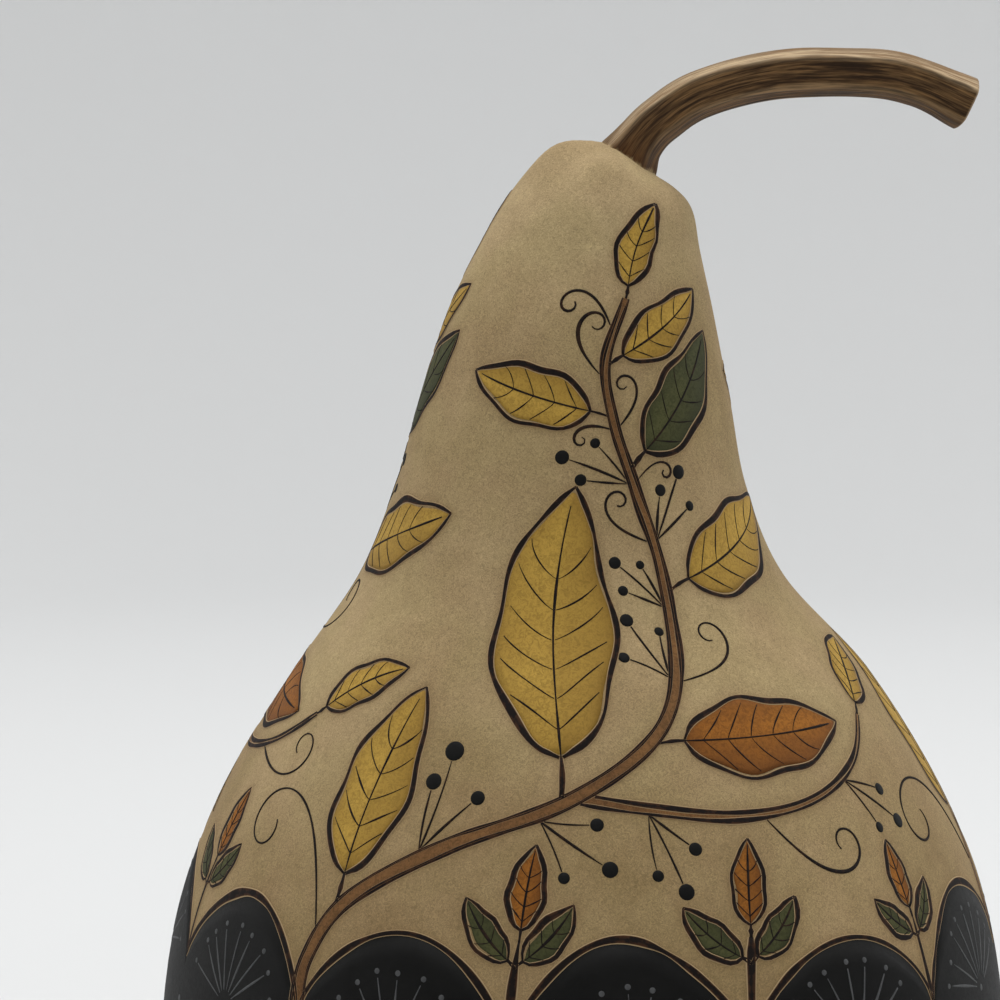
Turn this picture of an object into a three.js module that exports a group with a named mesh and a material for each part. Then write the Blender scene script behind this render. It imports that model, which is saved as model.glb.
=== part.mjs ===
// A painted kettle gourd: a pear-shaped dried shell that stands on its own base, and the woody stem
// that grew from its crown. Millimetres, Z up. The origin is the centre of the flat under the base.

import * as THREE from "three";
import { LoftGeometry } from "three/addons/geometries/LoftGeometry.js";

// Driving dimensions of the shell
const BASE_RADIUS = 34;
const BELLY_RADIUS = 128;
const BELLY_HEIGHT = 107;
const BASE_STEPS = 5;

// The outline from the belly up, seen from the front: left X, left Z, right X, right Z.
// The neck leans a little to the right, and the crown slopes down to the right.
const UPPER_OUTLINE = [
  [-122.6, 150, 123.4, 150],
  [-109, 187, 109.3, 187],
  [-87, 224, 86.2, 224],
  [-67, 253, 60.3, 253],
  [-56, 280, 48.5, 280],
  [-48.5, 306, 43.3, 306],
  [-40, 332, 38.1, 332],
  [-31.5, 350, 34, 350],
  [-23, 365, 31.7, 361.5],
  [-13, 377, 26.7, 369],
  [-4, 381.7, 21.5, 371.8],
  [5, 381, 20, 371.5],
];

// The shell isn't quite round: it swells between the front, the sides and the back.
const SWELL = 0.01;
const SWELL_TURN = 0.7;

// Soft humps stand round the foot of the stem.
const HUMP_COUNT = 5;
const HUMP_HEIGHT = 1.3;
const HUMP_INNER_RADIUS = 10;
const HUMP_OUTER_RADIUS = 27;

// Driving dimensions of the stem
const STEM_RADIUS = 6.8;
const STEM_GAP = 0.3;
const STEM_RISE = 7;
const STEM_FOOT_FLARE = 0.24;
const STEM_FOOT_LENGTH = 6;
const STEM_TIP_FLARE = 0.12;
const STEM_TIP_LENGTH = 7;
const STEM_TIP_ROUNDING = 1.2;
const STEM_RIDGES = 5;
const STEM_RIDGE_HEIGHT = 0.06;
const STEM_FIRST_RIDGE = THREE.MathUtils.degToRad(66);
const STEM_TWIST = THREE.MathUtils.degToRad(14);

// The stem's centre line past its foot: it arches to the right and droops towards its cut end.
const STEM_ROUTE = [
  [22.3, 0.3, 388.2],
  [34.2, 1, 395.5],
  [56.3, 2.2, 401],
  [83.4, 3.6, 401.4],
  [98, 4.2, 398.6],
  [112, 4.4, 392.5],
];

// Fineness
const SHELL_SIDES = 60;
const RINGS_PER_SPAN = 3;
const STEM_SIDES = 20;
const STEM_RINGS = 26;

function roundedBase() {
  // A quarter of an ellipse, from the edge of the flat out to the widest ring.
  return Array.from({ length: BASE_STEPS + 1 }, (_, step) => {
    const turn = (step / BASE_STEPS) * (Math.PI / 2);
    const x = BASE_RADIUS + (BELLY_RADIUS - BASE_RADIUS) * Math.sin(turn);
    const z = BELLY_HEIGHT * (1 - Math.cos(turn));
    return [-x, z, x, z];
  });
}

function swell(angle) {
  return 1 + SWELL * Math.sin(2 * angle) * Math.cos(angle - SWELL_TURN);
}

function hump(ringRadius, angle) {
  const share = (ringRadius - HUMP_INNER_RADIUS) / (HUMP_OUTER_RADIUS - HUMP_INNER_RADIUS);
  if (share <= 0 || share >= 1) return 0;
  return -HUMP_HEIGHT * Math.sin(Math.PI * share) ** 2 * Math.sin(HUMP_COUNT * angle);
}

// One ring of the shell stands on the line between its left and right edges.
function shellRing(left, right) {
  const middle = left.clone().add(right).multiplyScalar(0.5);
  const half = right.clone().sub(middle);
  const radius = half.length();
  return Array.from({ length: SHELL_SIDES }, (_, side) => {
    const angle = (side / SHELL_SIDES) * 2 * Math.PI;
    const across = Math.cos(angle) * swell(angle);
    const deep = Math.sin(angle) * swell(angle);
    return new THREE.Vector3(
      middle.x + half.x * across,
      radius * deep,
      middle.y + half.y * across + hump(radius, angle),
    );
  });
}

function gourdShell() {
  const outline = [...roundedBase(), ...UPPER_OUTLINE];
  const left = new THREE.SplineCurve(outline.map(([x, z]) => new THREE.Vector2(x, z)));
  const right = new THREE.SplineCurve(outline.map(([, , x, z]) => new THREE.Vector2(x, z)));
  const spans = (outline.length - 1) * RINGS_PER_SPAN;
  const rings = Array.from({ length: spans + 1 }, (_, ring) =>
    shellRing(left.getPoint(ring / spans), right.getPoint(ring / spans)),
  );
  return new LoftGeometry(rings, { capStart: true, capEnd: true });
}

// The seat is the small tilted flat on the crown that the stem stands on.
function crownSeat() {
  const [leftX, leftZ, rightX, rightZ] = UPPER_OUTLINE.at(-1);
  const slope = new THREE.Vector3(rightX - leftX, 0, rightZ - leftZ).normalize();
  return {
    centre: new THREE.Vector3((leftX + rightX) / 2, 0, (leftZ + rightZ) / 2),
    normal: new THREE.Vector3(-slope.z, 0, slope.x),
  };
}

function stemRoute() {
  const { centre, normal } = crownSeat();
  const foot = centre.clone().addScaledVector(normal, STEM_GAP);
  const rise = centre.clone().addScaledVector(normal, STEM_GAP + STEM_RISE);
  const rest = STEM_ROUTE.map(([x, y, z]) => new THREE.Vector3(x, y, z));
  return new THREE.CatmullRomCurve3([foot, rise, ...rest], false, "catmullrom");
}

function stemRadius(distance, length) {
  const foot = STEM_FOOT_FLARE * Math.exp(-((distance / STEM_FOOT_LENGTH) ** 2));
  const tip = STEM_TIP_FLARE * Math.exp(-(((length - distance) / STEM_TIP_LENGTH) ** 2));
  return STEM_RADIUS * (1 + foot + tip);
}

function stemRing(route, share, radius) {
  const centre = route.getPointAt(share);
  const along = route.getTangentAt(share);
  const deep = new THREE.Vector3(0, 1, 0).addScaledVector(along, -along.y).normalize();
  const upper = new THREE.Vector3().crossVectors(along, deep);
  return Array.from({ length: STEM_SIDES }, (_, side) => {
    const angle = (side / STEM_SIDES) * 2 * Math.PI;
    const ridge = Math.cos(STEM_RIDGES * (angle - STEM_FIRST_RIDGE - STEM_TWIST * share));
    const reach = radius * (1 + STEM_RIDGE_HEIGHT * ridge);
    return centre
      .clone()
      .addScaledVector(upper, reach * Math.cos(angle))
      .addScaledVector(deep, -reach * Math.sin(angle));
  });
}

function stemBar() {
  const route = stemRoute();
  const length = route.getLength();
  const rings = Array.from({ length: STEM_RINGS + 1 }, (_, ring) => {
    const share = (ring / STEM_RINGS) * (1 - STEM_TIP_ROUNDING / length);
    return stemRing(route, share, stemRadius(share * length, length));
  });
  rings.push(stemRing(route, 1, stemRadius(length, length) - STEM_TIP_ROUNDING));
  return new LoftGeometry(rings, { capStart: true, capEnd: true });
}

function piece(name, geometry, color, roughness) {
  const mesh = new THREE.Mesh(geometry, new THREE.MeshStandardMaterial({ color, roughness, metalness: 0 }));
  mesh.name = name;
  return mesh;
}

const gourd = new THREE.Group();
gourd.add(piece("gourd_shell", gourdShell(), "#a48d69", 0.85));
gourd.add(piece("stem", stemBar(), "#6b543a", 0.7));

export default gourd;
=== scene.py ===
import itertools
import math
import random

import bpy
import numpy as np
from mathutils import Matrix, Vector, kdtree


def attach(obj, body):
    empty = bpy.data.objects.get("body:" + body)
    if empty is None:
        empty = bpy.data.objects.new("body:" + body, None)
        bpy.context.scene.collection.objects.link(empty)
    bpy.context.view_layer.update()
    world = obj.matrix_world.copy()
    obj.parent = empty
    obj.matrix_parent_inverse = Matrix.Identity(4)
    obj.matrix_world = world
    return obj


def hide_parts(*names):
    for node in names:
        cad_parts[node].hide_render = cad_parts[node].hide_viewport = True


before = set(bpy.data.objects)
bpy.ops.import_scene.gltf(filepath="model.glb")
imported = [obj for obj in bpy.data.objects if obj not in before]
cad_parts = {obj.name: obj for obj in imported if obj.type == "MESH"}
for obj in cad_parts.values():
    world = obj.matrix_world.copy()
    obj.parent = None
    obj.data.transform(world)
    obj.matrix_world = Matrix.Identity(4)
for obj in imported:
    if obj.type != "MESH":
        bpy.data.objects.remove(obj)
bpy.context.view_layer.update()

MM = 0.001
QUARTER = math.pi / 2
FULL_TURN = 2 * math.pi

# The shell, as in the solid model
BASE_RADIUS = 34 * MM
BELLY_RADIUS = 128 * MM
BELLY_HEIGHT = 107 * MM
BASE_STEPS = 5
# From the belly up, seen from the front: left X, left Z, right X, right Z
UPPER_OUTLINE = MM * np.array([
    (-122.6, 150, 123.4, 150),
    (-109, 187, 109.3, 187),
    (-87, 224, 86.2, 224),
    (-67, 253, 60.3, 253),
    (-56, 280, 48.5, 280),
    (-48.5, 306, 43.3, 306),
    (-40, 332, 38.1, 332),
    (-31.5, 350, 34, 350),
    (-23, 365, 31.7, 361.5),
    (-13, 377, 26.7, 369),
    (-4, 381.7, 21.5, 371.8),
    (5, 381, 20, 371.5),
])
SWELL = 0.01
SWELL_TURN = 0.7
HUMP_COUNT = 5
HUMP_HEIGHT = 1.3 * MM
HUMP_INNER_RADIUS = 10 * MM
HUMP_OUTER_RADIUS = 27 * MM

# Finer relief of the crown: a lip round the foot of the stem, and a fall towards the right
LIP_RADIUS = 9.6 * MM
LIP_WIDTH = 2 * MM
LIP_HEIGHT = 0.7 * MM
CROWN_FALL = 1.3 * MM

# Soft dents of a grown shell: waves round it, waves up it, depth as a share of the radius, phase
DENTS = ((2, 3, 0.0022, 0.4), (3, 5, 0.0018, 1.9), (5, 8, 0.0012, 3.1), (9, 13, 0.0006, 5.0))
DENT_FADE = 45 * MM

# The stem, as in the solid model
STEM_RADIUS = 6.8 * MM
STEM_RISE = 7 * MM
STEM_FOOT_FLARE = 0.24
STEM_FOOT_LENGTH = 6 * MM
STEM_TIP_FLARE = 0.12
STEM_TIP_LENGTH = 7 * MM
STEM_RIDGES = 5
STEM_ROUTE = MM * np.array([
    (22.3, 0.3, 388.2),
    (34.2, 1, 395.5),
    (56.3, 2.2, 401),
    (83.4, 3.6, 401.4),
    (98, 4.2, 398.6),
    (112, 4.4, 392.5),
])

# Fineness of the meshes
SHELL_COLUMNS = 320
SHELL_RINGS = 280
STEM_SIDES = 128
STEM_RINGS = 260

# How far paint and burned lines stand proud of the skin, and how deep their edges are sunk in it
PAINT_LIFT = 0.10 * MM
LINE_LIFT = 0.22 * MM
LINE_TROUGH = 0.14 * MM
SUNK = -0.25 * MM


# Curves

def smooth_curve(points, share, run_out=False):
    """A uniform Catmull-Rom curve through points. With run_out its ends aim straight at their neighbours."""
    before, after = points[0], points[-1]
    if run_out:
        before, after = 2 * points[0] - points[1], 2 * points[-1] - points[-2]
    padded = np.concatenate([[before], points, [after]])
    last = len(points) - 1
    place = np.clip(np.asarray(share, float), 0, 1) * last
    first = np.minimum(place.astype(int), last - 1)
    t = (place - first)[..., None]
    a, b, c, d = (padded[first + step] for step in range(4))
    return b + 0.5 * t * (c - a + t * (2 * a - 5 * b + 4 * c - d + t * (3 * (b - c) + d - a)))


def all_round(count):
    return np.linspace(0, FULL_TURN, count, endpoint=False)


def distances_along(places):
    return np.concatenate([[0], np.cumsum(np.linalg.norm(np.diff(places, axis=0), axis=1))])


def unit(vectors):
    return vectors / np.maximum(np.linalg.norm(vectors, axis=-1, keepdims=True), 1e-12)


def smooth_step(value, low, high):
    share = np.clip((value - low) / (high - low), 0, 1)
    return share * share * (3 - 2 * share)


def wander(draw, count, knots):
    """Smooth unevenness between about -1 and 1, count values long, from seeded draws."""
    values = np.array([[draw.uniform(-1, 1)] for _ in range(max(knots, 3))])
    return smooth_curve(values, np.linspace(0, 1, count))[:, 0]


# The skin of the shell: a place on it is an angle round it and a rise, the distance up its outline
# from the edge of its flat

def rounded_base():
    turns = np.linspace(0, QUARTER, BASE_STEPS + 1)
    x = BASE_RADIUS + (BELLY_RADIUS - BASE_RADIUS) * np.sin(turns)
    z = BELLY_HEIGHT * (1 - np.cos(turns))
    return np.stack([-x, z, x, z], -1)


OUTLINE = np.concatenate([rounded_base(), UPPER_OUTLINE])


def outline_rings(share):
    """Middle and half width, both as X and Z, of the ring between the left and right edges."""
    edges = smooth_curve(OUTLINE, share)
    left, right = edges[..., :2], edges[..., 2:]
    return (left + right) / 2, (right - left) / 2


SHARES = np.linspace(0, 1, 2401)
MIDDLES, HALVES = outline_rings(SHARES)
RADII = np.linalg.norm(HALVES, axis=-1)
HEIGHTS = MIDDLES[:, 1]
RISES = distances_along(np.stack([RADII, HEIGHTS], -1))
SLOPES = np.gradient(RADII, RISES)
SKIN_LENGTH = RISES[-1]


def rise_at(height):
    return np.interp(height, HEIGHTS, RISES)


def ring_radius(rise):
    return np.interp(rise, RISES, RADII)


def swell(angle):
    return 1 + SWELL * np.sin(2 * angle) * np.cos(angle - SWELL_TURN)


def crown_relief(radius, angle):
    """Soft humps round the foot of the stem, a lip at its foot, and a fall towards the right."""
    share = np.clip((radius - HUMP_INNER_RADIUS) / (HUMP_OUTER_RADIUS - HUMP_INNER_RADIUS), 0, 1)
    swelling = np.sin(math.pi * share) ** 2
    rightward = np.clip(np.cos(angle), 0, 1) ** 2
    humps = -HUMP_HEIGHT * swelling * np.sin(HUMP_COUNT * angle) * (1 - 0.8 * rightward)
    lip = LIP_HEIGHT * np.exp(-((radius - LIP_RADIUS) / LIP_WIDTH) ** 2) * (1 + 0.4 * np.sin(3 * angle + 1))
    return humps + lip - CROWN_FALL * swelling * rightward


def dents(angle, rise):
    fade = np.clip(np.minimum(rise, SKIN_LENGTH - rise) / DENT_FADE, 0, 1)
    return fade * sum(
        depth * np.sin(turns * angle + phase) * np.sin(waves * math.pi * rise / SKIN_LENGTH + 2 * phase)
        for turns, waves, depth, phase in DENTS
    )


def skin(angle, rise):
    angle, rise = np.broadcast_arrays(angle, rise)
    middle, half = outline_rings(np.interp(rise, RISES, SHARES))
    radius = np.linalg.norm(half, axis=-1)
    fullness = swell(angle) + dents(angle, rise)
    across = np.cos(angle) * fullness
    x = middle[..., 0] + half[..., 0] * across
    y = radius * np.sin(angle) * fullness
    z = middle[..., 1] + half[..., 1] * across + crown_relief(radius, angle)
    return np.stack([x, y, z], -1)


def skin_normal(angle, rise):
    turn = 0.004
    step = 0.4 * MM
    round_it = skin(angle + turn, rise) - skin(angle - turn, rise)
    up_it = skin(angle, rise + step) - skin(angle, rise - step)
    return unit(np.cross(round_it, up_it))


def over_skin(angle, rise, lift):
    return skin(angle, rise) + skin_normal(angle, rise) * np.asarray(lift)[..., None]


def walk(angle, rise, heading, distance, steps=5):
    """Goes straight over the skin. A heading of 0 is up, and a quarter turn is right, from outside."""
    stride = distance / steps
    for _ in range(steps):
        radius = ring_radius(rise)
        turn = -np.sin(heading) * np.interp(rise, RISES, SLOPES) / radius * stride
        angle = angle + np.sin(heading) * stride / radius
        rise = rise + np.cos(heading) * stride
        heading = heading + turn
    return angle, rise, heading


def bent_walk(angle, rise, heading, distance, turns):
    """Places and headings along a line over the skin that turns by turns[i] at its step i."""
    places = [(angle, rise, heading)]
    for turn in turns:
        angle, rise, heading = walk(angle, rise, heading + turn, distance / len(turns), steps=1)
        places.append((angle, rise, heading))
    return np.array(places).T


def headings(angle, rise):
    return np.arctan2(ring_radius(rise) * np.gradient(angle), np.gradient(rise))


# Objects and pieces

def add_object(name, data):
    made = bpy.data.objects.new(name, data)
    bpy.context.scene.collection.objects.link(made)
    return made


def add_mesh(name, points, faces, finish):
    mesh = bpy.data.meshes.new(name)
    mesh.from_pydata(points.tolist(), [], faces)
    mesh.polygons.foreach_set("use_smooth", [True] * len(mesh.polygons))
    mesh.materials.append(finish)
    return add_object(name, mesh)


def quads_between(here, there):
    """Four-sided faces between rings of point numbers and the rings next to them."""
    return np.stack([here, np.roll(here, -1, 1), np.roll(there, -1, 1), there], -1).reshape(-1, 4)


class Piece:
    """Closed lofts that become one object, with named marks on their points for its finish to read."""

    def __init__(self, name, finish, *marks):
        self.name = name
        self.finish = finish
        self.marks = {mark: [] for mark in marks}
        self.points, self.faces = [], []
        self.count = 0

    def loft(self, rows, ring=False, **marks):
        """Adds closed sections, one after the other. A ring has its last joined to its first, and no ends."""
        turns, sides = rows.shape[:2]
        index = self.count + np.arange(turns * sides).reshape(turns, sides)
        here = index if ring else index[:-1]
        there = np.roll(index, -1, 0) if ring else index[1:]
        quads = quads_between(here, there)
        faces = quads.tolist()
        if not ring:
            faces += [index[0][::-1].tolist(), index[-1].tolist()]
        flat = rows.reshape(-1, 3)
        corners = flat[quads - self.count] - flat.mean(0)
        volume = sum(
            np.einsum("ij,ij->", corners[:, 0], np.cross(corners[:, k], corners[:, k + 1])) for k in (1, 2)
        )
        if volume < 0:
            faces = [face[::-1] for face in faces]
        self.points.append(flat)
        self.faces += faces
        self.count += len(flat)
        for mark, values in self.marks.items():
            values.append(np.broadcast_to(marks.get(mark, 0.0), (turns, sides)).ravel())

    def make(self, node, slot):
        made = add_mesh(self.name, np.concatenate(self.points), self.faces, self.finish)
        for mark, values in self.marks.items():
            layer = made.data.attributes.new(mark, "FLOAT", "POINT")
            layer.data.foreach_set("value", np.concatenate(values))
        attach(made, "root")
        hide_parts(node)


def film(piece, angle, rise, lift=PAINT_LIFT, ring=False, **marks):
    """Paint over a grid of places: its top stands proud of the skin, and its rim is sunk in it."""
    top = over_skin(angle, rise, np.full(angle.shape, lift))
    under = over_skin(angle, rise, np.full(angle.shape, SUNK))[:, ::-1]
    both = {mark: np.concatenate([values, values[:, ::-1]], 1) for mark, values in marks.items()}
    piece.loft(np.concatenate([top, under], 1), ring, **both)


# The cross-sections of burned lines: a share of the half width, a lift, and how burned it is, where
# below 0 is pale wood
GROOVE = (
    (-1, SUNK, -1),
    (-0.94, 0.11 * MM, -1),
    (-0.76, 0.17 * MM, -0.7),
    (-0.62, LINE_LIFT, 0.25),
    (0, LINE_TROUGH, 1),
    (0.62, LINE_LIFT, 0.25),
    (0.76, 0.17 * MM, -0.7),
    (0.94, 0.11 * MM, -1),
    (1, SUNK, -1),
)
SCRATCH = ((-1, SUNK, 0.4), (-0.6, 0.17 * MM, 0.8), (0.6, 0.17 * MM, 0.8), (1, SUNK, 0.4))
# How much wider a groove is with its lips and rims than its dark line
GROOVE_SPREAD = 1.45
GROOVE_STEP = 1.7 * MM
SCRATCH_STEP = 1.0 * MM
# How far apart a line's swellings and thick stretches are, and how long its narrower ends are
SWELLING_SPACING = 7 * MM
THICK_SPACING = 16 * MM
LINE_TAPER = 5 * MM

# The middles of all bold lines so far, which the shell is scorched beside
burned_places = []


def stroke(piece, angle, rise, width, section):
    """A burned line along places on the skin, with the given cross-section."""
    centre = skin(angle, rise)
    along = unit(np.gradient(centre, axis=0))
    normal = skin_normal(angle, rise)
    side = np.cross(normal, along)
    half = width[:, None] / 2
    rows = np.stack([centre + side * half * share + normal * lift for share, lift, _ in section], 1)
    piece.loft(rows, burn=np.array([burn for _, _, burn in section])[None, :])


def hand_width(draw, count, width, length):
    """A hand-burned line's width: uneven, with a few thick stretches, and half as wide at its ends."""
    share = np.linspace(0, 1, count)
    uneven = 1 + 0.32 * wander(draw, count, int(length / SWELLING_SPACING))
    thick = 0.9 * np.clip(wander(draw, count, int(length / THICK_SPACING)) - 0.35, 0, 1)
    ends = 0.5 + 0.5 * smooth_step(np.minimum(share, 1 - share) * length, 0, LINE_TAPER)
    return width * (uneven + thick) * ends


def even_steps(angle, rise, step):
    """The same way over the skin in even steps, and its length."""
    along = distances_along(skin(angle, rise))
    even = np.linspace(0, along[-1], max(int(along[-1] / step), 5))
    return np.interp(even, along, angle), np.interp(even, along, rise), along[-1]


def burned_line(piece, angle, rise, width, draw, first=0):
    """A bold line, burned as a groove between raised lips with a pale rim, from its step first on."""
    angle, rise, length = even_steps(angle, rise, GROOVE_STEP)
    width = GROOVE_SPREAD * hand_width(draw, len(angle), width, length)
    burned_places.append(skin(angle[first:], rise[first:]))
    stroke(piece, angle[first:], rise[first:], width[first:], GROOVE)


def scratched_line(piece, angle, rise, width, draw):
    """A fine line, drawn with the tip of the burning tool."""
    angle, rise, length = even_steps(angle, rise, SCRATCH_STEP)
    stroke(piece, angle, rise, hand_width(draw, len(angle), width, length), SCRATCH)


def spot(piece, angle, rise, radius, dome, sides=18):
    """A small spot of thick paint."""
    share, lift = np.array([
        (0.04, PAINT_LIFT + dome), (0.5, PAINT_LIFT + 0.85 * dome), (0.85, PAINT_LIFT + 0.4 * dome),
        (1, 0.0), (1, SUNK), (0.04, SUNK),
    ]).T
    heading = all_round(sides)[None, :]
    angles, rises, _ = walk(angle, rise, heading, radius * share[:, None], steps=2)
    piece.loft(over_skin(angles, rises, np.broadcast_to(lift[:, None], angles.shape)))


# The design

class Design:
    """The pieces that the design is made of, each one paint or kind of line."""

    def __init__(self):
        self.gold = Piece("gold_leaves", paint("gold_paint", *GOLD), "edge", "side")
        self.rust = Piece("rust_leaves", paint("rust_paint", *RUST), "edge", "side")
        self.green = Piece("green_leaves", paint("green_paint", *GREEN), "edge", "side")
        self.vine = Piece("vine_band", paint("vine_paint", *VINE), "edge")
        self.belt = Piece("rust_belt", paint("belt_paint", *RUST), "edge")
        self.black = Piece("black_scallops", black_paint("black_paint"))
        self.berries = Piece("black_berries", black_paint("berry_paint"))
        self.fans = Piece("grey_fans", grey_paint())
        self.lines = Piece("burned_outlines", burned("burned_line"), "burn")
        self.veins = Piece("burned_veins", burned("burned_scratch"), "burn")

    def make(self):
        for piece in vars(self).values():
            piece.make("gourd_shell", "shell")


class Room:
    """What is drawn so far, so that the next motif takes a free place beside it."""

    def __init__(self):
        self.taken = np.empty((0, 3))

    def take(self, places):
        self.taken = np.concatenate([self.taken, places.reshape(-1, 3)])

    def free(self, places, gap):
        places = places.reshape(-1, 3)
        middle = places.mean(0)
        reach = np.linalg.norm(places - middle, axis=1).max() + gap
        near = self.taken[np.linalg.norm(self.taken - middle, axis=1) < reach]
        if not len(near):
            return True
        return np.linalg.norm(places[:, None] - near[None], axis=2).min() > gap

    def first_free(self, motifs, gap):
        """The first of the motifs that has its gap all round, or none of them."""
        for motif in motifs:
            if self.free(motif.outer_places(), gap):
                self.take(motif.all_places())
                return motif
        return None


def leaf_width(share):
    """Half width of a leaf along its midrib, 1 at its widest: round at the base and pointed at the tip."""
    return share ** 0.62 * (1 - share) ** 0.88 / 0.362


class Leaf:
    """One painted leaf on its stalk, with its burned outline and veins."""

    ROWS = 26
    COLUMNS = np.linspace(-1, 1, 13)
    SLENDERNESS = 0.42
    STALK_LENGTH = 0.14
    STALK_WIDTH = 1.5 * MM
    OUTLINE_WIDTH = 1.25 * MM
    MIDRIB_WIDTH = 0.85 * MM
    VEIN_WIDTH = 0.6 * MM

    def __init__(self, angle, rise, heading, size, bend, seed):
        self.draw = random.Random(seed)
        self.size = size
        self.stalk = bent_walk(angle, rise, heading, self.STALK_LENGTH * size, np.full(6, -0.1 * bend))
        start = self.stalk[:, -1]
        self.angle, self.rise, self.heading = bent_walk(*start, size, np.full(self.ROWS, bend / self.ROWS))
        self.share = np.linspace(0, 1, self.ROWS + 1)
        body = self.SLENDERNESS * size / 2 * np.maximum(leaf_width(self.share), 0.03 * (1 - self.share))
        self.left = body * self.waved_edge()
        self.right = body * self.waved_edge()

    def waved_edge(self):
        return 1 + 0.07 * np.sin(self.draw.uniform(13, 18) * self.share + self.draw.uniform(0, 6))

    def place(self, share, column, margin=0.0):
        """A place at a share of the leaf's length and a column: -1 is its left edge and 1 is its right."""
        share, column = np.broadcast_arrays(share, column)
        angle, rise, heading, left, right = (
            np.interp(share, self.share, values)
            for values in (self.angle, self.rise, self.heading, self.left, self.right)
        )
        half = np.where(column < 0, left, right)
        half = np.maximum(half - margin, 0.25 * half)
        return walk(angle, rise, heading + QUARTER, half * column)[:2]

    def outer_places(self):
        return skin(*self.place(np.linspace(0.22, 1, 14)[:, None], np.linspace(-1, 1, 5)))

    def all_places(self):
        return skin(*self.place(np.linspace(0, 1, 20)[:, None], np.linspace(-1, 1, 9)))

    def paint(self, piece):
        share, column = np.meshgrid(self.share * 0.965 + 0.012, self.COLUMNS, indexing="ij")
        knots = 3 + int(self.size / (12 * MM))
        uneven = np.array([wander(self.draw, len(self.share), knots) for _ in range(2)])
        margin = (0.85 + 0.55 * np.where(column < 0, uneven[0][:, None], uneven[1][:, None])) * MM
        angle, rise = self.place(share, column, margin)
        edge = np.maximum(np.abs(column) ** 3, smooth_step(np.abs(share - 0.5), 0.34, 0.5))
        film(piece, angle, rise, edge=edge, side=smooth_step(column, -0.15, 0.15))

    def outline(self, piece):
        burned_line(piece, *self.stalk[:2], self.STALK_WIDTH, self.draw)
        for column in (-1, 1):
            share = np.linspace(0, 1, 60)
            burned_line(piece, *self.place(share, column), self.OUTLINE_WIDTH, self.draw)

    def veins(self, piece):
        share = np.linspace(0, 0.93, 40)
        scratched_line(piece, *self.place(share, 0), self.MIDRIB_WIDTH, self.draw)
        pairs = 3 + int(self.size / (22 * MM))
        for pair in range(pairs):
            start = 0.1 + 0.68 * pair / pairs
            for side in (-1, 1):
                out = np.linspace(0.03, 0.84, 16)
                forward = start + (0.17 + 0.03 * self.draw.uniform(-1, 1)) * out ** 1.3
                scratched_line(piece, *self.place(forward, side * out), self.VEIN_WIDTH, self.draw)

    def draw_on(self, design, paint):
        self.paint(paint)
        self.outline(design.lines)
        self.veins(design.veins)


class Berries:
    """Three black berries on thin burned stalks that fan out from one place."""

    # Each one's turn, and in millimetres the length of its stalk and its radius
    FAN = ((-0.45, 15, 2.1), (0.0, 23, 2.5), (0.42, 17, 1.8))
    STALK_STEPS = 12
    STALK_WIDTH = 0.8 * MM
    # So many steps from the vine may be close to what is drawn already
    CROWDED_STEPS = 7

    def __init__(self, angle, rise, heading, scale, seed):
        self.draw = random.Random(seed)
        self.stalks, self.berries = [], []
        for turn, length, radius in self.FAN:
            bend = self.draw.uniform(-0.25, 0.25)
            way = heading + turn + self.draw.uniform(-0.06, 0.06)
            turns = np.full(self.STALK_STEPS, bend / self.STALK_STEPS)
            stalk = bent_walk(angle, rise, way, scale * length * MM, turns)
            end = walk(*stalk[:, -1], (radius + 0.2) * MM * scale, steps=1)
            self.stalks.append(stalk)
            self.berries.append((end[0], end[1], radius * scale * MM))

    def outer_places(self):
        outer = [skin(*stalk[:2, self.CROWDED_STEPS:]) for stalk in self.stalks]
        return np.concatenate(outer + [skin(angle, rise)[None] for angle, rise, _ in self.berries])

    def all_places(self):
        return np.concatenate([self.outer_places()] + [skin(*stalk[:2]) for stalk in self.stalks])

    def draw_on(self, design):
        for stalk in self.stalks:
            scratched_line(design.veins, *stalk[:2], self.STALK_WIDTH, self.draw)
        for angle, rise, radius in self.berries:
            spot(design.berries, angle, rise, radius, dome=0.2 * MM)


class Tendril:
    """A thin burned line that curls up more and more towards its end."""

    STEPS = 84
    WIDTH = 0.85 * MM
    CROWDED_STEPS = 18

    def __init__(self, angle, rise, heading, length, hand, seed):
        self.draw = random.Random(seed)
        share = np.linspace(0, 1, self.STEPS)
        turns = hand * (0.007 + 0.22 * share ** 2.2)
        self.angle, self.rise, _ = bent_walk(angle, rise, heading, length, turns)

    def outer_places(self):
        return skin(self.angle[self.CROWDED_STEPS:], self.rise[self.CROWDED_STEPS:])

    def all_places(self):
        return skin(self.angle, self.rise)

    def draw_on(self, design):
        scratched_line(design.veins, self.angle, self.rise, self.WIDTH, self.draw)


# A vine's way up the gourd: turn in degrees from where it starts, and height in millimetres
VINE_WAY = np.array([
    (0, 148), (0, 164), (5, 181), (19, 197), (38, 210), (54, 226),
    (63, 246), (65, 266), (60, 286), (53, 304), (50, 321), (58, 338),
])
# A side shoot leaves each vine where it passes the first of these
SHOOT_WAY = np.array([(38, 210), (50, 207), (64, 204), (78, 205), (91, 211), (101, 221)])
VINE_COUNT = 3
VINE_START = math.radians(-131)
VINE_WIDTH = 4.4 * MM
VINE_LIFT = 0.16 * MM
VINE_LINE_WIDTH = 0.95 * MM
SHOOT_WIDTH = 2.8 * MM
SHOOT_LIFT = 0.13 * MM
# How many steps of a shoot's left and right outline lie on the vine that it leaves
SHOOT_COVERED = (3, 1)

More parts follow.
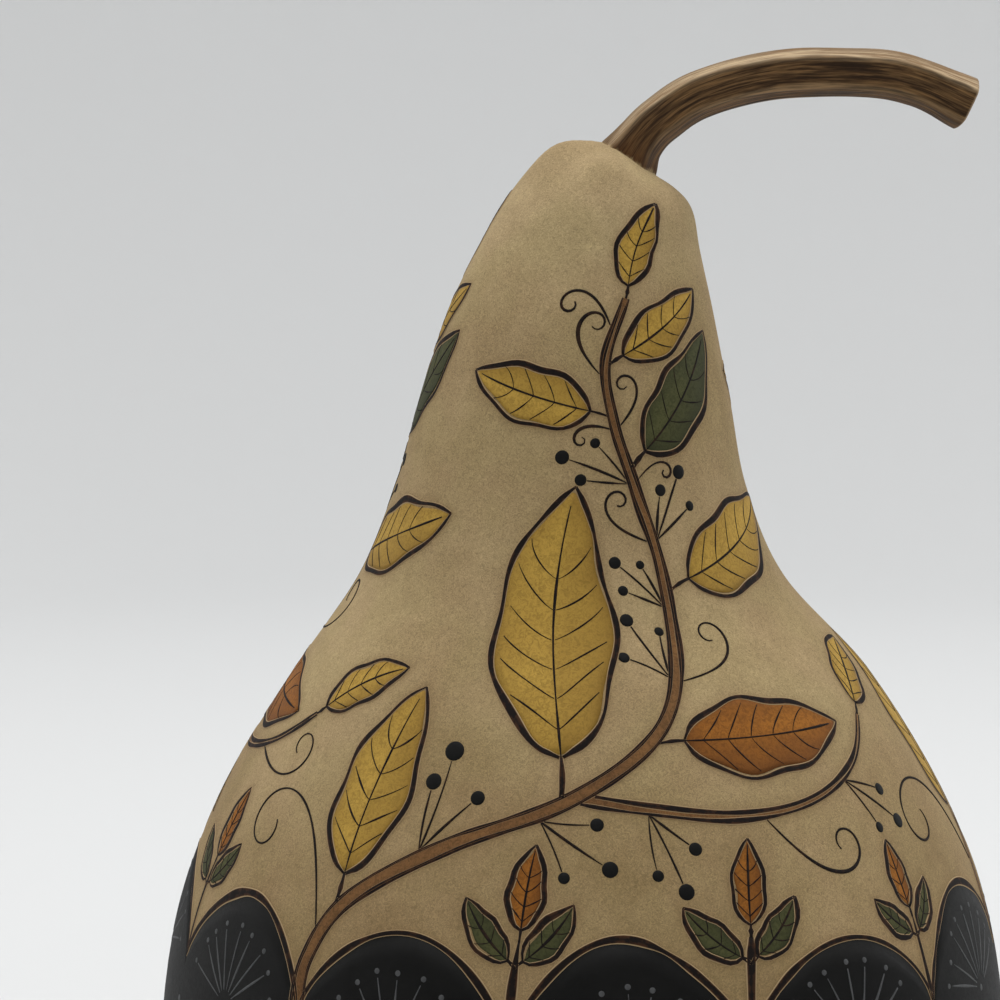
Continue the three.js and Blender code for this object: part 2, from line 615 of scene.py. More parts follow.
# Leaves stand this far apart along the vine, and are this long, as shares of the gourd's radius there
LEAF_SPACING = 0.33
LEAF_LENGTH = 0.86
SHOOT_LEAF_LENGTH = 0.42
LEAF_SCALES = (1, 0.88, 0.76, 0.65, 0.55)
LEAF_TURNS = (0, 0.22, -0.22, 0.45, -0.45)
TIP_LEAF_SCALE = 0.85
# Berries and tendrils start so far past each leaf, as a share of the spacing
FILLING_START = 0.62
# The clear space round a leaf, and round berries or a tendril, as shares of that radius
LEAF_GAP = 0.045
FILLING_GAP = 0.036


class Vine:
    """A vine or a side shoot that winds over the gourd, with leaves to its left and right in turn."""

    def __init__(self, way, start, width, lift, covered, leaf_length, seed):
        self.draw = random.Random(seed)
        self.seed = seed
        self.lift = lift
        self.covered = covered
        self.leaf_length = leaf_length
        share = np.linspace(0, 1, 20 * len(way))
        turned, height = smooth_curve(way, share).T
        self.angle = start + np.radians(turned)
        self.rise = rise_at(height * MM)
        self.heading = headings(self.angle, self.rise)
        self.half = width / 2 * (1 - 0.6 * share) * (1 + 0.1 * wander(self.draw, len(share), 2 * len(way)))
        places = skin(self.angle, self.rise)
        steps = np.linalg.norm(np.diff(places, axis=0), axis=1) / ring_radius(self.rise[1:])
        self.reached = np.concatenate([[0], np.cumsum(steps)])

    def all_places(self):
        return skin(self.angle, self.rise)

    def at(self, reached, hand):
        """Angle, rise, heading and gourd radius at the vine's left edge, middle or right: hand -1, 0 or 1."""
        ways = (self.angle, self.rise, self.heading, self.half)
        angle, rise, heading, half = (np.interp(reached, self.reached, way) for way in ways)
        angle, rise, _ = walk(angle, rise, heading + hand * QUARTER, abs(hand) * half, steps=1)
        return angle, rise, heading, ring_radius(rise)

    def band(self, design):
        columns = np.linspace(-1, 1, 5)
        angle, rise, _ = walk(
            self.angle[:, None], self.rise[:, None], self.heading[:, None] + QUARTER,
            self.half[:, None] * columns, steps=1,
        )
        film(design.vine, angle, rise, self.lift, edge=np.broadcast_to(columns ** 2, angle.shape))
        for column, first in zip((0, -1), self.covered):
            burned_line(design.lines, angle[:, column], rise[:, column], VINE_LINE_WIDTH, self.draw, first)

    def leaves(self, design, room):
        paints = itertools.cycle((design.gold, design.gold, design.rust, design.gold, design.green))
        first = LEAF_SPACING * self.leaf_length
        count = int((self.reached[-1] - first) / LEAF_SPACING)
        for step in range(count):
            hand = 1 if step % 2 else -1
            angle, rise, heading, radius = self.at(first + step * LEAF_SPACING, hand)
            size = self.leaf_length * radius * self.draw.uniform(0.94, 1.06)
            lean = self.draw.uniform(0.9, 1.02)
            bend = -hand * self.draw.uniform(0.25, 0.5)
            leaf = room.first_free((
                Leaf(angle, rise, heading + hand * (lean + turn), size * scale, bend, self.seed + step)
                for scale in LEAF_SCALES for turn in LEAF_TURNS
            ), LEAF_GAP * radius)
            if leaf:
                leaf.draw_on(design, next(paints))

    def tip_leaf(self, design, room):
        angle, rise, heading, radius = self.at(self.reached[-1], 0)
        tip = Leaf(angle, rise, heading, TIP_LEAF_SCALE * self.leaf_length * radius, 0.3, self.seed + 99)
        room.take(tip.all_places())
        tip.draw_on(design, design.gold)

    def fillings(self, design, room):
        """Berries and tendrils on both sides of the vine, where the leaves leave room."""
        count = int(self.reached[-1] / LEAF_SPACING)
        for step in range(count):
            for hand in (1, -1):
                angle, rise, heading, radius = self.at((step + FILLING_START) * LEAF_SPACING, hand)
                seed = self.seed + 500 + 10 * step + hand
                berries = [
                    Berries(angle, rise, heading + hand * lean, scale * (0.5 + 6 * radius), seed)
                    for scale in (1, 0.8) for lean in (0.75, 1.05, 0.5)
                ]
                tendrils = [
                    Tendril(angle, rise, heading + hand * lean, scale * radius, turn * hand, seed)
                    for scale in (0.75, 0.55, 0.4) for lean in (0.7, 1.0) for turn in (1, -1)
                ]
                berries_first = (step + 2 * (hand > 0)) % 3
                motifs = berries + tendrils if berries_first else tendrils + berries
                motif = room.first_free(motifs, FILLING_GAP * radius)
                if motif:
                    motif.draw_on(design)


# The border round the belly: black scallops with grey fans, and a rust belt with lozenges
SCALLOPS = 12
SCALLOP_FOOT = 149 * MM
SCALLOP_HEIGHT = 27 * MM
BLACK_BOTTOM = 92 * MM
BELT_BOTTOM = 71 * MM
BELT_GAP = 2.2 * MM
LAST_LINE_DROP = 3 * MM
BORDER_COLUMNS = 720
# What lies this far below the scallops' edges is taken, row by row
BORDER_DEPTH = 56 * MM
BORDER_ROWS = 15
# A fan's spread to each side, its rays and their length, and how far below the scallops' foot it starts
STANDING_FAN = (1.25, 9, 21 * MM)
STANDING_FAN_DROP = 5 * MM
HANGING_FAN = (0.7, 5, 17 * MM)
HANGING_FAN_DROP = 13 * MM
RAY_GAP = 4 * MM
RAY_WIDTH = 0.8 * MM
BEAD_GAP = 1.8 * MM
BEADS = 132
BEAD_RISE = 6 * MM
LOZENGES = 40
SPRIG_HEIGHT = 26 * MM
SPRIG_LEAF_LENGTH = 22 * MM
SIDE_LEAF_SCALE = 0.88
SPRIG_STEPS = 12
SIDE_LEAF_STEP = 9


def scallop_rise(angle):
    share = ((angle - VINE_START) / FULL_TURN * SCALLOPS) % 1
    bump = np.abs(np.sin(math.pi * share)) ** 0.62
    uneven = 1 + 0.10 * np.sin(3 * angle + 0.8) + 0.06 * np.sin(7 * angle)
    return rise_at(SCALLOP_FOOT) + SCALLOP_HEIGHT * bump * uneven


def band_of_paint(piece, low, high, count, angle):
    columns = np.linspace(0, 1, count)
    rise = low[:, None] + (high - low)[:, None] * columns
    grid = np.broadcast_to(angle[:, None], rise.shape)
    film(piece, grid, rise, ring=True, edge=np.broadcast_to((2 * columns - 1) ** 4, rise.shape))


def border(design, room):
    draw = random.Random(7)
    angle = all_round(BORDER_COLUMNS)
    edge = scallop_rise(angle)
    black_low = np.full(angle.shape, rise_at(BLACK_BOTTOM))
    belt_low = np.full(angle.shape, rise_at(BELT_BOTTOM))
    belt_high = black_low - BELT_GAP
    band_of_paint(design.black, black_low, edge, 12, angle)
    band_of_paint(design.belt, belt_low, belt_high, 4, angle)
    lines = (
        (edge, 1.4 * MM),
        (black_low, 0.9 * MM),
        (belt_high, 1.1 * MM),
        (belt_low, 1.1 * MM),
        (belt_low - LAST_LINE_DROP, 0.8 * MM),
    )
    for rise, width in lines:
        burned_line(design.lines, np.append(angle, FULL_TURN), np.append(rise, rise[0]), width, draw)
    for below in np.linspace(0, BORDER_DEPTH, BORDER_ROWS):
        room.take(skin(angle, edge - below))
    fans(design)
    lozenges(design, belt_low[0], belt_high[0], draw)


def fan(piece, angle, rise, towards, spread, rays, length, draw):
    """Grey rays that spread from a spot, each with a bead at its end."""
    spot(piece, angle, rise, 1.1 * MM, dome=0.1 * MM, sides=10)
    for heading in towards + np.linspace(-spread, spread, rays):
        start = walk(angle, rise, heading + draw.uniform(-0.02, 0.02), RAY_GAP)
        reach = length * draw.uniform(0.95, 1.04) - RAY_GAP
        ray = bent_walk(*start, reach, np.full(8, draw.uniform(-0.01, 0.01)))
        scratched_line(piece, *ray[:2], RAY_WIDTH, draw)
        end = walk(*ray[:, -1], BEAD_GAP, steps=1)
        spot(piece, end[0], end[1], 0.85 * MM, dome=0.1 * MM, sides=10)


def fans(design):
    """A fan in each scallop, a small one below each notch, and a row of beads above the belt."""
    draw = random.Random(23)
    foot = rise_at(SCALLOP_FOOT)
    for scallop in range(SCALLOPS):
        notch = VINE_START + FULL_TURN * scallop / SCALLOPS
        middle = notch + FULL_TURN / SCALLOPS / 2
        fan(design.fans, middle, foot - STANDING_FAN_DROP, 0, *STANDING_FAN, draw)
        fan(design.fans, notch, foot - HANGING_FAN_DROP, math.pi, *HANGING_FAN, draw)
    for angle in all_round(BEADS):
        rise = rise_at(BLACK_BOTTOM) + BEAD_RISE + draw.uniform(-0.15, 0.15) * MM
        spot(design.fans, angle, rise, draw.uniform(0.75, 0.95) * MM, dome=0.1 * MM, sides=10)


def lozenges(design, low, high, draw):
    """A row of burned lozenges round the belt, each with a black spot in it."""
    middle = (low + high) / 2
    half_height = 0.4 * (high - low)
    half_width = 0.42 * FULL_TURN / LOZENGES
    for repeat in range(LOZENGES):
        centre = FULL_TURN * repeat / LOZENGES
        for left, up in itertools.product((-1, 1), (1, -1)):
            share = np.linspace(0, 1, 9)
            angles = centre + left * half_width * (1 - share)
            scratched_line(design.veins, angles, middle + up * half_height * share, 0.95 * MM, draw)
        spot(design.berries, centre, middle, 1.5 * MM, dome=0.15 * MM)


def sprigs(design, room):
    """A green sprig with a rust tip in each notch between the scallops that no vine grows from."""
    for notch in range(SCALLOPS):
        if notch % (SCALLOPS // VINE_COUNT) == 0:
            continue
        draw = random.Random(700 + notch)
        angle = VINE_START + FULL_TURN * notch / SCALLOPS
        rise = scallop_rise(angle) + 1.5 * MM
        tall = draw.uniform(0.85, 1.1)
        turns = np.full(SPRIG_STEPS, 0.01)
        stem_way = bent_walk(angle, rise, draw.uniform(-0.1, 0.1), tall * SPRIG_HEIGHT, turns)
        burned_line(design.lines, *stem_way[:2], 1.5 * MM, draw)
        room.take(skin(*stem_way[:2]))
        leaves = []
        for hand in (-1, 1):
            lean = hand * draw.uniform(0.62, 0.75)
            size = SIDE_LEAF_SCALE * tall * SPRIG_LEAF_LENGTH
            place = stem_way[:2, SIDE_LEAF_STEP]
            leaves.append((Leaf(*place, lean, size, -hand * 0.5, 800 + 10 * notch + hand), design.green))
        bud = Leaf(*stem_way[:, -1], tall * SPRIG_LEAF_LENGTH, 0.1, 805 + 10 * notch)
        leaves.append((bud, design.rust))
        for leaf, paint in leaves:
            room.take(leaf.all_places())
            leaf.draw_on(design, paint)


# The shell and the stem

SCORCH_REACH = 1.9 * MM
# The heights between which the skin is painted paler and cooler at the crown, as light from above, and
# painted darker and browner at the belly, as shade
CROWN_LIGHT_HEIGHTS = (325 * MM, 365 * MM)
BELLY_SHADE_HEIGHTS = (160 * MM, 235 * MM)


def scorch_marks(places):
    """How close each point is to a bold line: 1 at the line, fading out within a few millimetres."""
    lines = np.concatenate(burned_places)
    tree = kdtree.KDTree(len(lines))
    for index, place in enumerate(lines):
        tree.insert(place, index)
    tree.balance()
    near = np.array([tree.find(place)[2] for place in places.reshape(-1, 3)]).reshape(places.shape[:2])
    return np.exp(-((near / SCORCH_REACH) ** 2))


def base_rings(angle):
    """The flat that the gourd stands on, with the small scar of the blossom at its middle."""
    share, dip = np.array([
        (0.003, 1.4), (0.05, 1.5), (0.09, 2.6), (0.13, 2.9), (0.17, 1.9),
        (0.24, 0.9), (0.4, 0.3), (0.7, 0), (0.93, 0),
    ]).T
    rings = skin(angle, 0.0)[None] * share[:, None, None]
    rings[..., 2] = dip[:, None] * MM * (1 + 0.2 * np.sin(5 * angle))[None]
    return rings


def shell():
    piece = Piece("stained_shell", stained_skin(), "scorch", "crown", "belly")
    angle = all_round(SHELL_COLUMNS)
    rise = np.linspace(0, SKIN_LENGTH, SHELL_RINGS)
    wall = skin(angle[None, :], rise[:, None])
    seat = wall[-1].mean(0) + (wall[-1] - wall[-1].mean(0)) * 0.05
    flat = base_rings(angle)
    scorch = np.concatenate([np.zeros(flat.shape[:2]), scorch_marks(wall), np.zeros((1, SHELL_COLUMNS))])
    rows = np.concatenate([flat, wall, seat[None]])
    # Painted light: the crown is painted paler and cooler, as if lit from above, and the belly is painted
    # darker, as shade
    crown = smooth_step(rows[..., 2], *CROWN_LIGHT_HEIGHTS)
    belly = 1 - smooth_step(rows[..., 2], *BELLY_SHADE_HEIGHTS)
    piece.loft(rows, scorch=scorch, crown=crown, belly=belly)
    piece.make("gourd_shell", "shell")


STEM_SUNK = 1.5 * MM
# The ridges are turned a little further back than on the solid model
STEM_FIRST_RIDGE = math.radians(49)
STEM_TWIST = math.radians(10)
RIDGE_HEIGHT = 0.16
RIDGE_SHARPNESS = 0.008
MEAN_CREST = 0.36
SLOW_SWELLING = 0.015
FIBRE_HEIGHT = 0.016
GRAIN_STRETCH = 0.05


def stem_route():
    left, right = UPPER_OUTLINE[-1][:2], UPPER_OUTLINE[-1][2:]
    slope = unit(right - left)
    centre = np.array([(left[0] + right[0]) / 2, 0, (left[1] + right[1]) / 2])
    normal = np.array([-slope[1], 0, slope[0]])
    return np.concatenate([[centre - STEM_SUNK * normal, centre + STEM_RISE * normal], STEM_ROUTE])


def stem_crest(angle, share):
    """How close a place on the stem is to a ridge: about 0.9 on it, and 0 in the middle of a face."""
    phase = STEM_RIDGES / 2 * (angle - STEM_FIRST_RIDGE - STEM_TWIST * share)
    return 1 - np.sqrt(np.sin(phase) ** 2 + RIDGE_SHARPNESS)


def stem_face(angle, share):
    """The face that a place is on, from the front ridge: -1 to 0 is the uppermost, 0 to 1 the next down."""
    turn = (angle - STEM_FIRST_RIDGE - STEM_TWIST * share) / FULL_TURN * STEM_RIDGES
    return (turn + STEM_RIDGES / 2) % STEM_RIDGES - STEM_RIDGES / 2


def stem_fibres(draw):
    """Lengthwise fibres, about -1 to 1: each swells and fades slowly along the stem."""
    fine = np.array([wander(draw, STEM_RINGS, 12) for _ in range(STEM_SIDES)]).T
    coarse = np.array([wander(draw, STEM_RINGS, 6) for _ in range(STEM_SIDES // 4)]).T
    return 0.6 * fine + 0.6 * np.repeat(coarse, 4, 1)


def stem_end(centre, rim, along):
    """The dry cut face: a rounded edge, a slightly dished face and a small pith hole."""
    shares_and_outs = (
        (0.95, 0.5), (0.86, 0.75), (0.6, 0.5), (0.32, 0.3), (0.2, 0.1), (0.16, -1.2), (0.03, -1.4),
    )
    return np.array([centre + (rim - centre) * share + along * out * MM for share, out in shares_and_outs])


def stem():
    draw = random.Random(31)
    route = stem_route()
    share = np.linspace(0, 1, 2001)
    travelled = distances_along(smooth_curve(route, share, run_out=True))
    length = travelled[-1]
    distance = np.linspace(0, length, STEM_RINGS)
    centre = smooth_curve(route, np.interp(distance, travelled, share), run_out=True)
    along = unit(np.gradient(centre, axis=0))
    deep = unit(np.array([0, 1, 0]) - along * along[:, 1:2])
    upper = np.cross(along, deep)
    angle = all_round(STEM_SIDES)[None]
    crest = stem_crest(angle, (distance / length)[:, None])
    fibre = stem_fibres(draw)
    foot = STEM_FOOT_FLARE * np.exp(-((distance / STEM_FOOT_LENGTH) ** 2))[:, None] * (0.8 + 0.9 * crest)
    tip = STEM_TIP_FLARE * np.exp(-(((length - distance) / STEM_TIP_LENGTH) ** 2))[:, None]
    slow = SLOW_SWELLING * wander(draw, STEM_RINGS, 10)[:, None]
    ridges = RIDGE_HEIGHT * (crest - MEAN_CREST)
    reach = STEM_RADIUS * (1 + foot + tip + slow + ridges + FIBRE_HEIGHT * fibre)
    sideways = upper[:, None] * np.cos(angle)[..., None] - deep[:, None] * np.sin(angle)[..., None]
    rows = centre[:, None] + sideways * reach[..., None]
    ends = stem_end(centre[-1], rows[-1], along[-1])
    face = stem_face(angle, (distance / length)[:, None]) + 0.05 * wander(draw, STEM_RINGS, 24)[:, None]
    # The faces above the front ridge, and less so the back upper face, are marked paler: partly bleached
    # wood, partly painted light where the top light falls
    bleached = smooth_step(face, -1.0, -0.9) * (1 - smooth_step(face, -0.1, 0.04))
    bleached *= 0.45 + 0.55 * smooth_step(face, -0.85, -0.4)
    bleached += 0.6 * smooth_step(face, -2.1, -1.8) * (1 - smooth_step(face, -1.15, -1.05))

    def with_ends(values):
        values = np.broadcast_to(values, (STEM_RINGS, STEM_SIDES))
        return np.concatenate([values, np.repeat(values[-1:], len(ends), 0)])

    marks = ("crest", "fibre", "bleached", "run", "round_x", "round_y", "foot", "end")
    piece = Piece("stem_wood", stem_finish(), *marks)
    piece.loft(
        np.concatenate([rows, ends]),
        crest=with_ends(crest),
        fibre=with_ends(0.5 + 0.5 * fibre),
        bleached=with_ends(bleached),
        run=with_ends(GRAIN_STRETCH * distance[:, None]),
        round_x=with_ends(STEM_RADIUS * np.cos(angle)),
        round_y=with_ends(STEM_RADIUS * np.sin(angle)),
        foot=with_ends(np.exp(-distance / STEM_FOOT_LENGTH)[:, None]),
        end=np.concatenate([np.zeros(STEM_RINGS), np.ones(len(ends))])[:, None],
    )
    piece.make("stem", "stem")


# Finishes

class Wire:
    """One socket of a finish's nodes, with the sums and products that its maths is written in."""

    def __init__(self, finish, socket):
        self.finish = finish
        self.socket = socket

    def math(self, operation, *values):
        return self.finish.node("ShaderNodeMath", {"operation": operation}, dict(enumerate(values)))

    def __add__(self, other):
        return self.math("ADD", self, other)

    def __sub__(self, other):
        return self.math("SUBTRACT", self, other)

    def __rsub__(self, other):
        return self.math("SUBTRACT", other, self)

    def __mul__(self, other):
        return self.math("MULTIPLY", self, other)

    __radd__ = __add__
    __rmul__ = __mul__


class Finish:
    """A material in the making: a Principled shader, and the nodes that feed it."""

    def __init__(self, name, shine):
        self.material = bpy.data.materials.new(name)
        self.material.use_nodes = True
        self.tree = self.material.node_tree
        self.shader = self.tree.nodes["Principled BSDF"]
        self.feed(self.shader.inputs["Specular IOR Level"], shine)

    def node(self, kind, settings, inputs, output=0):
        made = self.tree.nodes.new(kind)
        for setting, value in settings.items():
            setattr(made, setting, value)
        for socket, value in inputs.items():
            self.feed(made.inputs[socket], value)
        return Wire(self, made.outputs[output])

    def feed(self, socket, value):
        if isinstance(value, Wire):
            self.tree.links.new(value.socket, socket)
        elif socket.type == "RGBA" and len(value) == 3:
            socket.default_value = (*value, 1)
        else:
            socket.default_value = value

    def mark(self, name):
        return self.node("ShaderNodeAttribute", {"attribute_name": name}, {}, "Fac")

    def noise(self, size, detail, roughness, distortion=0.0, place=None):
        """Noise whose spots are about size across, in metres, from 0 to 1."""
        return self.node("ShaderNodeTexNoise", {}, {
            "Vector": place or self.node("ShaderNodeTexCoord", {}, {}, "Object"),
            "Scale": 1 / size,
            "Detail": detail,
            "Roughness": roughness,
            "Distortion": distortion,
        }, "Fac")

    def span(self, value, low, high, start=0.0, end=1.0):
        """value from low to high becomes start to end, smoothly."""
        inputs = {"Value": value, "From Min": low, "From Max": high, "To Min": start, "To Max": end}
        return self.node("ShaderNodeMapRange", {"interpolation_type": "SMOOTHSTEP"}, inputs)

    def blend(self, amount, first, second, mode="MIX"):
        settings = {"data_type": "RGBA", "blend_type": mode, "clamp_factor": True}
        return self.node("ShaderNodeMix", settings, {0: amount, 6: first, 7: second}, 2)

    def tinted(self, colour, tint):
        return self.blend(1.0, colour, tint, "MULTIPLY")

    def speckled(self, colour, amount, low, high):
        """colour made darker and lighter, low times to high times, as amount goes from 0.3 to 0.7."""
        shade = self.blend(self.span(amount, 0.3, 0.7), (low, low, low), (high, high, high))
        return self.tinted(colour, shade)

    def bump(self, height, strength, distance):
        return self.node("ShaderNodeBump", {}, {"Height": height, "Strength": strength, "Distance": distance})

    def done(self, colour, roughness, normal=None):
        self.feed(self.shader.inputs["Base Color"], colour)
        self.feed(self.shader.inputs["Roughness"], roughness)
        if normal:
            self.feed(self.shader.inputs["Normal"], normal)
        return self.material


STAIN_DARK = (0.262, 0.183, 0.085)
STAIN_LIGHT = (0.405, 0.302, 0.157)
OLIVE_TINT = (0.99, 1.0, 0.965)
ROSE_TINT = (1.015, 0.995, 1.005)
# Painted light: paler and cooler at the crown; painted shade: darker and browner at the belly
CROWN_PAINTED_LIGHT = (1.05, 1.07, 1.10)
BELLY_PAINTED_SHADE = (0.88, 0.85, 0.82)
SCORCHED = (0.15, 0.088, 0.036)
# Paints: their light and dark tones, and the shade at their outlines
GOLD = ((0.46, 0.29, 0.055), (0.35, 0.21, 0.035), (0.20, 0.11, 0.018))
RUST = ((0.32, 0.12, 0.015), (0.21, 0.074, 0.010), (0.095, 0.031, 0.006))
GREEN = ((0.075, 0.075, 0.026), (0.045, 0.048, 0.017), (0.02, 0.023, 0.009))
VINE = ((0.20, 0.098, 0.034), (0.12, 0.056, 0.019), (0.055, 0.024, 0.009))
BLACK_DEEP = (0.0015, 0.0015, 0.0014)
BLACK_WORN = (0.0065, 0.0065, 0.006)
GREY_DARK = (0.03, 0.032, 0.033)
GREY_LIGHT = (0.10, 0.102, 0.104)
BURN_PALE = (0.45, 0.33, 0.18)
BURN_LIP = (0.060, 0.024, 0.009)
BURN_DEEP = (0.008, 0.005, 0.004)
# Pale wood: worn on the crests, and the painted light on the stem's upper faces
WOOD_PALE = (0.54, 0.395, 0.235)
WOOD_MID = (0.16, 0.088, 0.034)
WOOD_DARK = (0.032, 0.015, 0.005)
WOOD_RED = (0.062, 0.023, 0.007)
WOOD_CUT = (0.36, 0.26, 0.16)


def stained_skin():
    """Matte tan stain, sponged on: soft clouds, fine suede-like flecks, and scorch beside bold lines.

    Painted light and shade: paler and cooler at the crown, darker and browner at the belly.
    """
    finish = Finish("stained_skin", 0.22)
    clouds = finish.noise(75 * MM, 2, 0.5)
    hues = finish.noise(24 * MM, 2, 0.6)
    patches = finish.noise(9 * MM, 2, 0.5, 0.4)
    flecks = finish.noise(0.85 * MM, 2, 0.75, 2.0)
    tone = 0.7 * finish.span(clouds, 0.3, 0.7) + 0.3 * finish.span(patches, 0.25, 0.75)
    colour = finish.blend(tone, STAIN_DARK, STAIN_LIGHT)
    colour = finish.tinted(colour, finish.blend(finish.span(hues, 0.35, 0.65), OLIVE_TINT, ROSE_TINT))
    # Painted light and shade: paler and cooler towards the crown, darker and browner towards the belly
    for mark, tint in (("crown", CROWN_PAINTED_LIGHT), ("belly", BELLY_PAINTED_SHADE)):
        colour = finish.blend(finish.mark(mark), colour, finish.tinted(colour, tint))
    colour = finish.speckled(colour, flecks, 0.74, 1.24)
    scorch = finish.mark("scorch") * finish.span(patches, 0.25, 0.7, 0.15, 0.5)
    colour = finish.blend(scorch, colour, SCORCHED)
    return finish.done(colour, 0.8 + 0.14 * patches, finish.bump(flecks, 0.3, 0.3 * MM))


def paint(name, light, dark, shade):
    """Matte paint, darker towards its outline and on one half, thin enough to show the grain."""
    finish = Finish(name, 0.18)
    clouds = finish.noise(18 * MM, 3, 0.6, 0.5)
    flecks = finish.noise(1.5 * MM, 3, 0.7, 1.6)
    tone = 0.6 * finish.span(clouds, 0.3, 0.7) + 0.4 * finish.span(flecks, 0.3, 0.7)
    colour = finish.speckled(finish.blend(tone, dark, light), flecks, 0.78, 1.2)
    deep = 0.5 * finish.mark("edge") + 0.3 * finish.mark("side") + 0.25 * finish.span(flecks, 0.55, 0.75)
    colour = finish.blend(deep, colour, shade)
    return finish.done(colour, 0.66 + 0.2 * clouds, finish.bump(flecks, 0.3, 0.25 * MM))


def black_paint(name):
    """Matte black, a little worn in soft clouds."""
    finish = Finish(name, 0.13)
    clouds = finish.noise(30 * MM, 3, 0.6, 0.4)
    flecks = finish.noise(1.4 * MM, 3, 0.7, 1.0)
    tone = 0.6 * finish.span(clouds, 0.3, 0.7) + 0.4 * flecks
    colour = finish.blend(tone, BLACK_DEEP, BLACK_WORN)
    return finish.done(colour, 0.5 + 0.25 * flecks, finish.bump(flecks, 0.2, 0.2 * MM))


def grey_paint():
    """Thin grey paint that the black shows through."""
    finish = Finish("grey_paint", 0.2)
    tone = finish.noise(1.5 * MM, 2, 0.5)
    colour = finish.blend(tone, GREY_DARK, GREY_LIGHT)
    return finish.done(colour, 0.55 + 0.2 * tone, finish.bump(tone, 0.2, 0.2 * MM))


def burned(name):
    """A burned line: nearly black in its trough, red-brown on its lips and pale at its rims."""
    finish = Finish(name, 0.15)
    char = finish.noise(3.5 * MM, 3, 0.7)
    burn = finish.mark("burn")
    depth = burn + 0.7 * finish.span(char, 0.35, 0.6) - 0.1
    colour = finish.blend(depth, BURN_LIP, BURN_DEEP)
    colour = finish.blend(finish.span(burn, -0.9, -0.2, 0.75, 0.0), colour, BURN_PALE)
    return finish.done(colour, 0.7 + 0.2 * char, finish.bump(char, 0.3, 0.2 * MM))


def stem_finish():
    """Weathered wood with fine lengthwise fibres: bleached and painted lit from above on the faces above the
    front ridge, and reddish at its foot.
    """
    finish = Finish("stem_fibres", 0.15)
    crest, fibre, bleached, foot = (finish.mark(name) for name in ("crest", "fibre", "bleached", "foot"))
    grown = {"X": finish.mark("run"), "Y": finish.mark("round_x"), "Z": finish.mark("round_y")}
    place = finish.node("ShaderNodeCombineXYZ", {}, grown)
    streak = finish.noise(2.2 * MM, 3, 0.7, 0.2, place)
    grain = finish.noise(0.7 * MM, 3, 0.7, 0.1, place)
    colour = finish.blend(finish.span(0.55 * streak + 0.45 * grain, 0.38, 0.64), WOOD_DARK, WOOD_MID)
    colour = finish.blend(finish.span(crest + 0.3 * fibre, 0.6, 1.1, 0.0, 0.2), colour, WOOD_PALE)
    colour = finish.blend(foot, colour, WOOD_RED)
    # Painted light and wear: the upper faces are painted paler, as if lit from above, in streaks of bleached
    # wood
    pale = bleached * finish.span(0.4 * streak + 0.6 * grain, 0.46, 0.56, 1.0, 0.15) * (1 - 0.6 * foot)
    colour = finish.blend(pale, colour, WOOD_PALE)
    colour = finish.speckled(colour, grain, 0.65, 1.3)
    colour = finish.blend(finish.span(foot + 0.5 * streak, 0.85, 1.05), colour, STAIN_LIGHT)
    colour = finish.blend(finish.mark("end") * 0.7, colour, WOOD_CUT)
    roughness = 0.5 + 0.25 * grain + 0.3 * foot
    return finish.done(colour, roughness, finish.bump(grain + 0.5 * streak, 0.5, 0.3 * MM))


# The studio

CAMERA_AIM = Vector((-24.7 * MM, 0, 276 * MM))
CAMERA_DISTANCE = 750 * MM
CAMERA_ELEVATION = math.radians(8)
CAMERA_LENS = 90.7
WALL_RADIUS = 2.3
COVE_RADIUS = 0.9
WALL_HEIGHT = 1.5
BACKDROP_GREY = (0.71, 0.717, 0.72)
WORLD_WHITE = (1, 0.995, 0.985)
WORLD_STRENGTH = 0.45


def camera():
    made = add_object("camera", bpy.data.cameras.new("camera"))
    made.data.lens = CAMERA_LENS
    made.data.sensor_width = 36
    back = Vector((0, -math.cos(CAMERA_ELEVATION), math.sin(CAMERA_ELEVATION)))
    made.location = CAMERA_AIM + back * CAMERA_DISTANCE
    made.rotation_euler = (-back).to_track_quat("-Z", "Y").to_euler()
    bpy.context.scene.camera = made


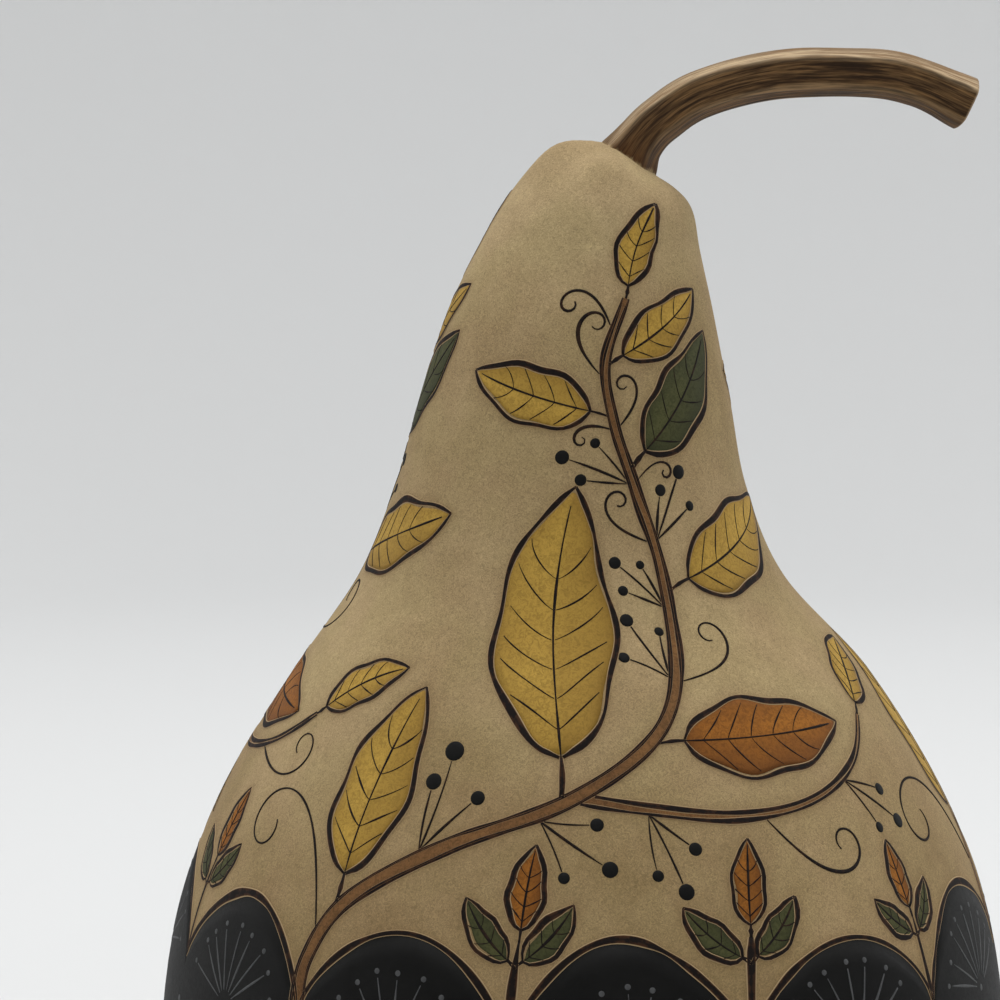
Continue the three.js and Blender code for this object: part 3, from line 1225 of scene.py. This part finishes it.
def backdrop():
    """A pale floor that sweeps up into a round wall, alike from every side."""
    turns = np.linspace(0, QUARTER, 16)
    cove = WALL_RADIUS - COVE_RADIUS + COVE_RADIUS * np.sin(turns)
    radius = np.concatenate([[0.02, 0.5, 1.0], cove, [WALL_RADIUS]])[:, None]
    height = np.concatenate([[0, 0, 0], COVE_RADIUS * (1 - np.cos(turns)), [WALL_HEIGHT]])[:, None]
    angle = all_round(96)[None]
    rows = np.stack(np.broadcast_arrays(radius * np.cos(angle), radius * np.sin(angle), height), -1)
    index = np.arange(rows.shape[0] * rows.shape[1]).reshape(rows.shape[:2])
    faces = quads_between(index[:-1], index[1:]).tolist() + [index[0].tolist()]
    paper = Finish("backdrop_paper", 0.1).done(BACKDROP_GREY, 0.95)
    made = add_mesh("backdrop", rows.reshape(-1, 3), faces, paper)


def soft_light(name, place, size, power):
    made = add_object(name, bpy.data.lights.new(name, "AREA"))
    made.data.shape = "SQUARE"
    made.data.size = size
    made.data.energy = power
    made.location = place
    made.rotation_euler = (Vector((0, 0, 0.2)) - made.location).to_track_quat("-Z", "Y").to_euler()
    made.visible_camera = False


def studio():
    soft_light("top_light", (0, 0.15, 1.9), 1.6, 26)
    soft_light("left_light", (-1.5, 0.75, 0.9), 1.2, 5)
    soft_light("right_light", (1.5, 0.75, 0.9), 1.2, 7)
    world = bpy.data.worlds.new("studio")
    world.use_nodes = True
    world.node_tree.nodes["Background"].inputs["Color"].default_value = (*WORLD_WHITE, 1)
    world.node_tree.nodes["Background"].inputs["Strength"].default_value = WORLD_STRENGTH
    bpy.context.scene.world = world
    bpy.context.scene.view_settings.view_transform = "Standard"


def painted_design():
    design = Design()
    room = Room()
    starts = [VINE_START + FULL_TURN * number / VINE_COUNT for number in range(VINE_COUNT)]
    vines = [
        Vine(VINE_WAY, start, VINE_WIDTH, VINE_LIFT, (0, 0), LEAF_LENGTH, 1000 * number)
        for number, start in enumerate(starts, 1)
    ] + [
        Vine(SHOOT_WAY, start, SHOOT_WIDTH, SHOOT_LIFT, SHOOT_COVERED, SHOOT_LEAF_LENGTH, 1000 * number)
        for number, start in enumerate(starts, 5)
    ]
    border(design, room)
    for vine in vines:
        room.take(vine.all_places())
        vine.band(design)
        vine.tip_leaf(design, room)
    sprigs(design, room)
    for vine in vines:
        vine.leaves(design, room)
    for vine in vines:
        vine.fillings(design, room)
    design.make()


camera()
backdrop()
studio()
painted_design()
shell()
stem()
